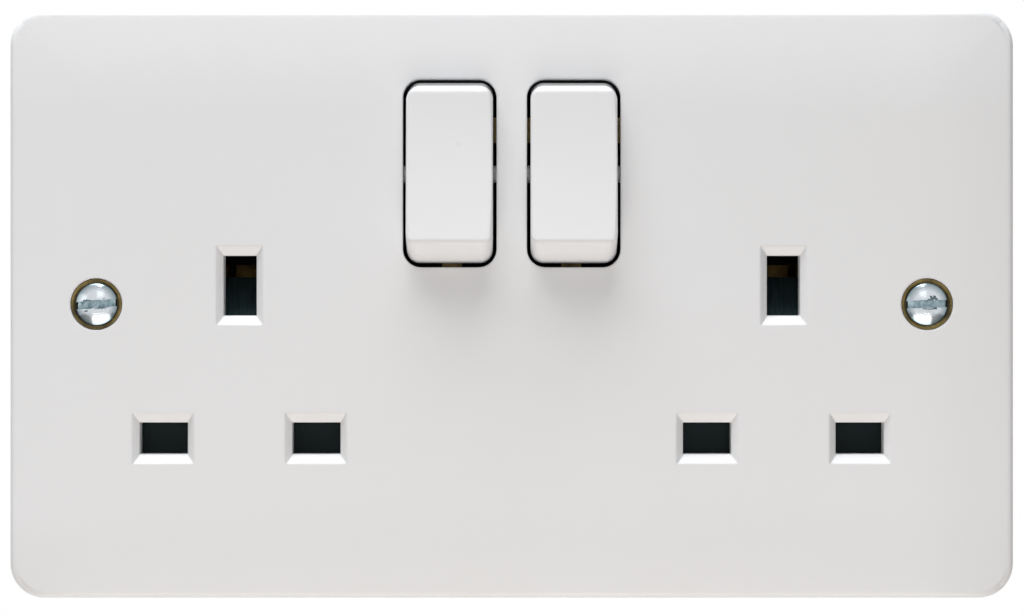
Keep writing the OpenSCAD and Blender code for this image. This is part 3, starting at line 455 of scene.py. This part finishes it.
# the eyelets wear brass in painted shade
dress(eyeletBrassInPaintedShade, "eyelet_left", "eyelet_right")
dress(zincSteel, "assembly_screws", "line_clamp_screw", "neutral_clamp_screw", "earth_clamp_screw_left",
      "earth_clamp_screw_right", "fixing_screw_left", "fixing_screw_right")
dress(springSteel, "plunger_left", "plunger_right", "plunger_spring_left", "plunger_spring_right",
      "shutter_spring_left", "shutter_spring_right")
print("materials on the solids")

# pieces made here: each rides on a body, and its materials come in the order of its faces' indices


def newPiece(name, mesh, body, *mats):
    piece = bpy.data.objects.new(name, mesh)
    bpy.context.scene.collection.objects.link(piece)
    for mat in mats:
        mesh.materials.append(mat)
    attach(piece, body)
    return piece


def ringPoint(radius, along, i, sides):
    turn = 2 * math.pi * i / sides
    return radius * math.cos(turn), along, radius * math.sin(turn)


def latheRows(bm, rows, sides):
    # rings of points (radius, along) round the axis, joined into faces and closed at both ends
    rings = [[bm.verts.new(ringPoint(radius, along, i, sides)) for i in range(sides)]
             for radius, along in rows]
    for first, second in zip(rings, rings[1:]):
        for i in range(sides):
            bm.faces.new((first[i], first[(i + 1) % sides], second[(i + 1) % sides], second[i]))
    bm.faces.new(list(reversed(rings[0])))
    bm.faces.new(rings[-1])


fixing = {"pitch": 120.6 * mm, "rim": 3.025 * mm, "rimAt": 9.08 * mm, "dome": 0.75 * mm, "domeSteps": 24,
          "edge": 0.06 * mm, "shank": 1.35 * mm, "shankEnds": (-0.5 * mm, 0.4 * mm), "ease": 0.1 * mm,
          "blend": 0.15 * mm, "sides": 96, "turn": {"left": 4.5, "right": 2}, "sharpAngle": 32}


def domeBall():
    # radius of the ball that the head's dome is cut from
    return (fixing["rim"] ** 2 + fixing["dome"] ** 2) / (2 * fixing["dome"])


def screwBlank():
    # head, cone and shank turned as one, front towards -Y
    bm = bmesh.new()
    ball = domeBall()
    reach = math.asin(fixing["rim"] / ball)
    rows = []
    for step in range(1, fixing["domeSteps"] + 1):
        turn = reach * step / fixing["domeSteps"]
        sunk = ball * (1 - math.cos(turn))
        rows.append((ball * math.sin(turn), -(fixing["rimAt"] + fixing["dome"] - sunk)))
    rim, rimAt, shank = fixing["rim"], fixing["rimAt"], fixing["shank"]
    edge, ease, blend = fixing["edge"], fixing["ease"], fixing["blend"]
    start, end = fixing["shankEnds"]
    rows[-1] = (rim - edge, rows[-1][1] - edge * 0.3)
    rows += [(rim - edge * 0.3, -rimAt - edge * 0.05), (rim, -rimAt + edge * 0.6),
             (rim - ease, -rimAt + ease + edge), (shank + blend, -rimAt + (rim - shank) - ease),
             (shank, -rimAt + (rim - shank) + blend),
             (shank, start), (shank - ease, end)]
    latheRows(bm, rows, fixing["sides"])
    bmesh.ops.recalc_face_normals(bm, faces=bm.faces)
    mesh = bpy.data.meshes.new("screwBlank")
    bm.to_mesh(mesh)
    bm.free()
    return mesh


slot = {"width": 1.2 * mm, "depth": 1.1 * mm, "steps": 26, "overrun": 1 * mm, "above": 0.6 * mm,
        "rag": 0.09 * mm, "memory": 0.55, "floorRag": 0.05, "taper": 0.1 * mm, "seed": 5}


def slotCutter(seed):
    # a driver slot whose long sides wander a little, as a burred slot's do
    dice = random.Random(seed)
    bm = bmesh.new()
    length = 2 * fixing["rim"] + slot["overrun"]
    top = -(fixing["rimAt"] + fixing["dome"]) - slot["above"]
    floor = -(fixing["rimAt"] + fixing["dome"]) + slot["depth"]
    foot = slot["width"] / 2 - slot["taper"]
    walk = {-1: 0, 1: 0}
    rows = []
    for i in range(slot["steps"] + 1):
        x = -length / 2 + length * i / slot["steps"]
        corners = []
        for side in (-1, 1):
            walk[side] = slot["memory"] * walk[side] + dice.uniform(-1, 1) * slot["rag"]
            wide = slot["width"] / 2 + walk[side]
            low = floor + dice.uniform(-slot["floorRag"], slot["floorRag"]) * mm
            corners.append(((x, top, side * wide), (x, low, side * foot)))
        (topA, lowA), (topB, lowB) = corners
        rows.append([bm.verts.new(corner) for corner in (topA, lowA, lowB, topB)])
    for first, second in zip(rows, rows[1:]):
        for i in range(4):
            bm.faces.new((first[i], first[(i + 1) % 4], second[(i + 1) % 4], second[i]))
    bm.faces.new(list(reversed(rows[0])))
    bm.faces.new(rows[-1])
    bmesh.ops.recalc_face_normals(bm, faces=bm.faces)
    mesh = bpy.data.meshes.new("slotCutter")
    bm.to_mesh(mesh)
    bm.free()
    return mesh


def cutSlot(blank, cutter):
    # takes the cutter out of the blank, and hands the slot's own faces to the second material
    holders = []
    for mesh in (blank, cutter):
        holder = bpy.data.objects.new(mesh.name, mesh)
        bpy.context.scene.collection.objects.link(holder)
        holders.append(holder)
        for _ in range(2):
            mesh.materials.append(None)
    body, tool = holders
    for face in cutter.polygons:
        face.material_index = 1
    change = body.modifiers.new("slot", "BOOLEAN")
    change.operation = "DIFFERENCE"
    change.object = tool
    change.solver = "EXACT"
    seen = bpy.context.evaluated_depsgraph_get()
    result = bpy.data.meshes.new_from_object(body.evaluated_get(seen))
    for holder in holders:
        bpy.data.objects.remove(holder)
    return result


# where the slot's sides are torn: along the slot, across it, length and height of each patch, in mm
torn = {"left": ((-1.35, 0.68, 0.5, 0.13), (-0.9, 0.6, 0.3, 0.08), (0.75, -0.62, 0.55, 0.13),
                 (1.3, -0.55, 0.3, 0.1), (-1.5, -0.86, 0.25, 0.14), (1.2, 0.66, 0.22, 0.07),
                 (0.1, -0.66, 0.3, 0.07)),
        "right": ((0.85, 0.85, 0.42, 0.3), (0.35, 0.66, 0.35, 0.12), (1.3, 0.7, 0.22, 0.16),
                  (-0.35, -0.66, 0.35, 0.08), (0.5, -0.7, 0.5, 0.1), (1.15, -0.66, 0.25, 0.14))}
shards = {"count": 11, "alongSpread": 0.8, "acrossSpread": 0.6, "tilt": 0.3, "length": (0.3, 0.5),
          "thickness": 0.035 * mm, "height": (0.45, 0.8), "rag": 0.25, "seed": 11}


def addBurrs(bm, side, seed):
    # torn metal that lies over both sides of the slot, built from small ragged shards
    dice = random.Random(seed)
    ball = domeBall()
    for x, z, long, tall in torn[side]:
        for _ in range(shards["count"]):
            px = (x + dice.uniform(-shards["alongSpread"], shards["alongSpread"]) * long) * mm
            pz = (z + dice.uniform(-shards["acrossSpread"], shards["acrossSpread"]) * tall) * mm
            front = -(fixing["rimAt"] + fixing["dome"] - (ball - math.sqrt(ball ** 2 - px ** 2 - pz ** 2)))
            made = bmesh.ops.create_icosphere(bm, subdivisions=2, radius=1)
            tilt = dice.uniform(-shards["tilt"], shards["tilt"])
            length = long * dice.uniform(*shards["length"]) * mm
            height = tall * dice.uniform(*shards["height"]) * mm
            place = (Matrix.Translation((px, front, pz)) @ Matrix.Rotation(tilt, 4, "Y")
                     @ Matrix.Diagonal((length, shards["thickness"], height, 1)))
            for vert in made["verts"]:
                vert.co *= 1 + dice.uniform(-shards["rag"], shards["rag"])
            bmesh.ops.transform(bm, matrix=place, verts=made["verts"])
            for face in {face for vert in made["verts"] for face in vert.link_faces}:
                face.material_index = 2


thread = {"radius": 1.75 * mm, "depth": 0.36 * mm, "pitch": 0.6 * mm, "length": 18 * mm, "sides": 36,
          "runOut": 0.8 * mm, "chamfer": 0.9, "chamferFoot": 0.25 * mm, "tipLength": 0.9 * mm,
          "tipTaper": 0.3 * mm, "coreSink": 0.02 * mm, "coreReach": 1.2 * mm}


def threadedEnd(bm):
    # the wound thread behind the wall plane, with a run-out at its start and a chamfered tip
    sides, pitch, length = thread["sides"], thread["pitch"], thread["length"]
    crest, root = thread["radius"], thread["radius"] - thread["depth"]
    perTurn = ((0.0, root), (0.13, root), (0.45, crest), (0.58, crest))
    turns = int(length / pitch)
    rings = []
    for turn in range(turns):
        for share, radius in perTurn:
            ring = []
            for i in range(sides):
                along = (turn + share + i / sides - 1) * pitch
                reach = min(radius, root - thread["chamferFoot"] + max(0, length - along) * thread["chamfer"])
                if along < thread["runOut"]:
                    reach = min(reach, fixing["shank"])
                ring.append((reach, min(max(along, 0), length), i))
            rings.append(ring)
    made = [[bm.verts.new(ringPoint(reach, along, i, sides)) for reach, along, i in ring] for ring in rings]
    for a, b in zip(made, made[1:]):
        for i in range(sides - 1):
            bm.faces.new((a[i], a[i + 1], b[i + 1], b[i]))
    for k in range(len(made) - len(perTurn) - 1):
        a, b, shift = made[k], made[k + 1], len(perTurn)
        bm.faces.new((a[sides - 1], made[k + shift][0], made[k + 1 + shift][0], b[sides - 1]))
    tip = [bm.verts.new(ringPoint(root - thread["tipTaper"], length + thread["tipLength"], i, sides))
           for i in range(sides)]
    foot = [bm.verts.new(ringPoint(root - thread["coreSink"], length - thread["coreReach"], i, sides))
            for i in range(sides)]
    for i in range(sides):
        bm.faces.new((foot[i], foot[(i + 1) % sides], tip[(i + 1) % sides], tip[i]))
    bm.faces.new(tip)


def makeFixingScrew(side, sign):
    slotted = cutSlot(screwBlank(), slotCutter(sign + slot["seed"]))
    bm = bmesh.new()
    bm.from_mesh(slotted)
    addBurrs(bm, side, sign + shards["seed"])
    threadedEnd(bm)
    centre = (sign * fixing["pitch"] / 2, 0, 0)
    turn = Matrix.Rotation(-math.radians(fixing["turn"][side]), 4, "Y")
    bmesh.ops.transform(bm, matrix=Matrix.Translation(centre) @ turn, verts=bm.verts)
    bmesh.ops.recalc_face_normals(bm, faces=bm.faces)
    mesh = bpy.data.meshes.new("fixingScrew")
    bm.to_mesh(mesh)
    bm.free()
    mesh.shade_smooth()
    mesh.set_sharp_from_angle(angle=math.radians(fixing["sharpAngle"]))
    head = screwHead("platedHead_" + side, centre)
    piece = newPiece("slottedScrew_" + side, mesh, "root", head, slotPlating, shardSteel)
    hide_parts("fixing_screw_" + side)


for side, sign in (("left", -1), ("right", 1)):
    makeFixingScrew(side, sign)
print("fixing screws turned and threaded")

# generic marks for the terminals, raised on the housing's upper wall
marks = {"size": 4.2 * mm, "raise": 0.16 * mm, "bevel": 0.04 * mm, "wall": 33 * mm, "back": 13 * mm,
         "letters": (("L", 20 * mm), ("E", 37 * mm), ("N", -20 * mm), ("E", -37 * mm))}


def makeMarks():
    for index, (letter, x) in enumerate(marks["letters"]):
        text = bpy.data.curves.new("terminalMark", "FONT")
        text.body = letter
        text.size = marks["size"]
        text.extrude = marks["raise"]
        text.bevel_depth = marks["bevel"]
        text.align_x = "CENTER"
        text.align_y = "CENTER"
        holder = bpy.data.objects.new("textHolder", text)
        bpy.context.scene.collection.objects.link(holder)
        seen = bpy.context.evaluated_depsgraph_get()
        mesh = bpy.data.meshes.new_from_object(holder.evaluated_get(seen))
        bpy.data.objects.remove(holder)
        mesh.transform(Matrix.Translation((x, marks["back"], marks["wall"])))
        piece = newPiece("terminalMark_%d" % (index + 1), mesh, "root", charcoalPlastic)


makeMarks()

# witness discs that the ejector pins leave behind the plate
ejectors = {"radius": 2 * mm, "height": 0.14 * mm, "sink": 0.02 * mm, "web": 7 * mm, "sides": 40,
            "places": ((-64.5, 24), (64.5, 24), (-64.5, -24), (64.5, -24), (-24, 37.2), (24, 37.2),
                       (-44, -37.2), (44, -37.2), (0, -37.2))}


def makeEjectorDiscs():
    bm = bmesh.new()
    r, h = ejectors["radius"], ejectors["height"]
    profile = [(r, ejectors["sink"]), (r, 0), (r - 0.03 * mm, h * 0.7), (r - 0.12 * mm, h),
               (r - 0.5 * mm, h * 0.8)]
    for x, z in ejectors["places"]:
        before = len(bm.verts)
        latheRows(bm, profile, ejectors["sides"])
        bm.verts.ensure_lookup_table()
        place = Matrix.Translation((x * mm, -ejectors["web"], z * mm))
        bmesh.ops.transform(bm, matrix=place, verts=bm.verts[before:])
    bmesh.ops.recalc_face_normals(bm, faces=bm.faces)
    mesh = bpy.data.meshes.new("ejectorDiscs")
    bm.to_mesh(mesh)
    bm.free()
    newPiece("ejectorDiscs", mesh, "root", platePlastic)


makeEjectorDiscs()
print("marks and ejector discs made")

# springs that ride on their bodies with welded, rounded wire; the plungers' springs lean with the rocker at
# rest
lean = math.radians(7)
springs = {
    "shutter": {"body": {"left": "root", "right": "root"}, "axis": (0, 0, 1), "fixedEnd": (0, 0, -13.87 * mm),
                "rest": 9.74 * mm, "travel": 5.8 * mm},
    "plunger": {"body": {"left": "rocker_left", "right": "rocker_right"},
                "axis": (0, -math.cos(lean), math.sin(lean)), "fixedEnd": (0, -6.37 * mm, 20.1 * mm),
                "rest": 8.1 * mm, "travel": 1 * mm},
}
wire = {"weld": 0.002 * mm, "levels": 1}


def addSprings():
    for kind, spring in springs.items():
        for side, body in spring["body"].items():
            node = "%s_spring_%s" % (kind, side)
            name = "%sCoil_%s" % (kind, side)
            mesh = nodes[node].data.copy()
            mesh.name = name
            mesh.materials.clear()
            piece = newPiece(name, mesh, body, springSteel)
            weld = piece.modifiers.new("joinSides", "WELD")
            weld.merge_threshold = wire["weld"]
            piece.modifiers.new("roundWire", "SUBSURF").render_levels = wire["levels"]
            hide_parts(node)
            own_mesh(piece)


addSprings()

# stage, lamps and camera
stage = {"floorBelow": -0.5, "floorSize": 1.8, "floorColour": (0.78, 0.76, 0.73), "floorShade": 0.97,
         "floorRoughness": 0.7, "floorGlow": 0.55}
lamps = {
    "overhead": {"from": (-0.1, -0.18, 0.75), "size": 0.6, "watts": 9.4, "colour": (0.985, 1, 1.02)},
    "below": {"from": (0, -0.3, -0.38), "size": 0.4, "watts": 1.62, "colour": (1, 0.935, 0.885)},
    "side": {"from": (-0.6, -0.45, 0.1), "size": 0.4, "watts": 0.3, "colour": (1, 1, 1)},
    "front": {"from": (0, -0.75, 0.38), "size": 0.25, "watts": 0.12, "colour": (1, 1, 1)},
}
ambient = 0.2


def makeFloor():
    half = stage["floorSize"] / 2
    mesh = bpy.data.meshes.new("floor")
    corners = [(-half, -half, 0), (half, -half, 0), (half, half, 0), (-half, half, 0)]
    mesh.from_pydata(corners, [], [(0, 1, 2, 3)])
    floor = bpy.data.objects.new("floor", mesh)
    floor.location = (0, 0, stage["floorBelow"])
    bpy.context.scene.collection.objects.link(floor)
    mat, tree, shader = newMaterial("paleFloor")
    grain = useGroup(tree, "mouldedGrain", (-600, 0), Grain=900, Cloud=5)
    shaded = tuple(stage["floorShade"] * c for c in stage["floorColour"])
    tone = mixColours(tree, grain.outputs["Clouds"], stage["floorColour"], shaded)
    tree.links.new(tone, shader.inputs["Base Color"])
    shader.inputs["Roughness"].default_value = stage["floorRoughness"]
    shader.inputs["Emission Color"].default_value = (1, 1, 1, 1)
    path = addNode(tree, "ShaderNodeLightPath", (-600, -300))
    glow = spread(tree, path.outputs["Is Camera Ray"], 0, stage["floorGlow"], (-250, -300))
    tree.links.new(glow, shader.inputs["Emission Strength"])
    mesh.materials.append(mat)


def makeLamps():
    for name, lamp in lamps.items():
        data = bpy.data.lights.new(name, "AREA")
        data.size = lamp["size"]
        data.energy = lamp["watts"]
        data.color = lamp["colour"]
        holder = bpy.data.objects.new(name, data)
        holder.location = lamp["from"]
        holder.rotation_euler = (-Vector(lamp["from"])).to_track_quat("-Z", "Y").to_euler()
        bpy.context.scene.collection.objects.link(holder)


def makeWorld():
    world = bpy.data.worlds.new("studio")
    bpy.context.scene.world = world
    world.use_nodes = True
    tree = world.node_tree
    lit = tree.nodes["Background"]
    lit.inputs["Color"].default_value = (1, 1, 1, 1)
    path = addNode(tree, "ShaderNodeLightPath", (-900, 0))
    seen = None
    for label in ("Is Camera Ray", "Is Glossy Ray", "Is Transmission Ray"):
        if seen is None:
            seen = path.outputs[label]
            continue
        either = addNode(tree, "ShaderNodeMath", (-600, 0), operation="MAXIMUM")
        tree.links.new(seen, either.inputs[0])
        tree.links.new(path.outputs[label], either.inputs[1])
        seen = either.outputs["Value"]
    tree.links.new(spread(tree, seen, ambient, 1, (-300, 0)), lit.inputs["Strength"])


view = {"distance": 0.5, "frameWidth": 148.6 * mm, "right": 0.04 * mm, "up": -0.486 * mm, "face": 9.5 * mm,
        "sensor": 36, "clip": 10 * mm}


def makeCamera():
    data = bpy.data.cameras.new("camera")
    data.sensor_width = view["sensor"]
    data.lens = data.sensor_width * view["distance"] / view["frameWidth"]
    data.clip_start = view["clip"]
    camera = bpy.data.objects.new("camera", data)
    camera.location = (view["right"], -view["face"] - view["distance"], view["up"])
    camera.rotation_euler = (math.radians(90), 0, 0)
    bpy.context.scene.collection.objects.link(camera)
    bpy.context.scene.camera = camera


makeFloor()
makeLamps()
makeWorld()
makeCamera()
bpy.context.scene.view_settings.view_transform = "Standard"
print("stage, lamps and camera set")
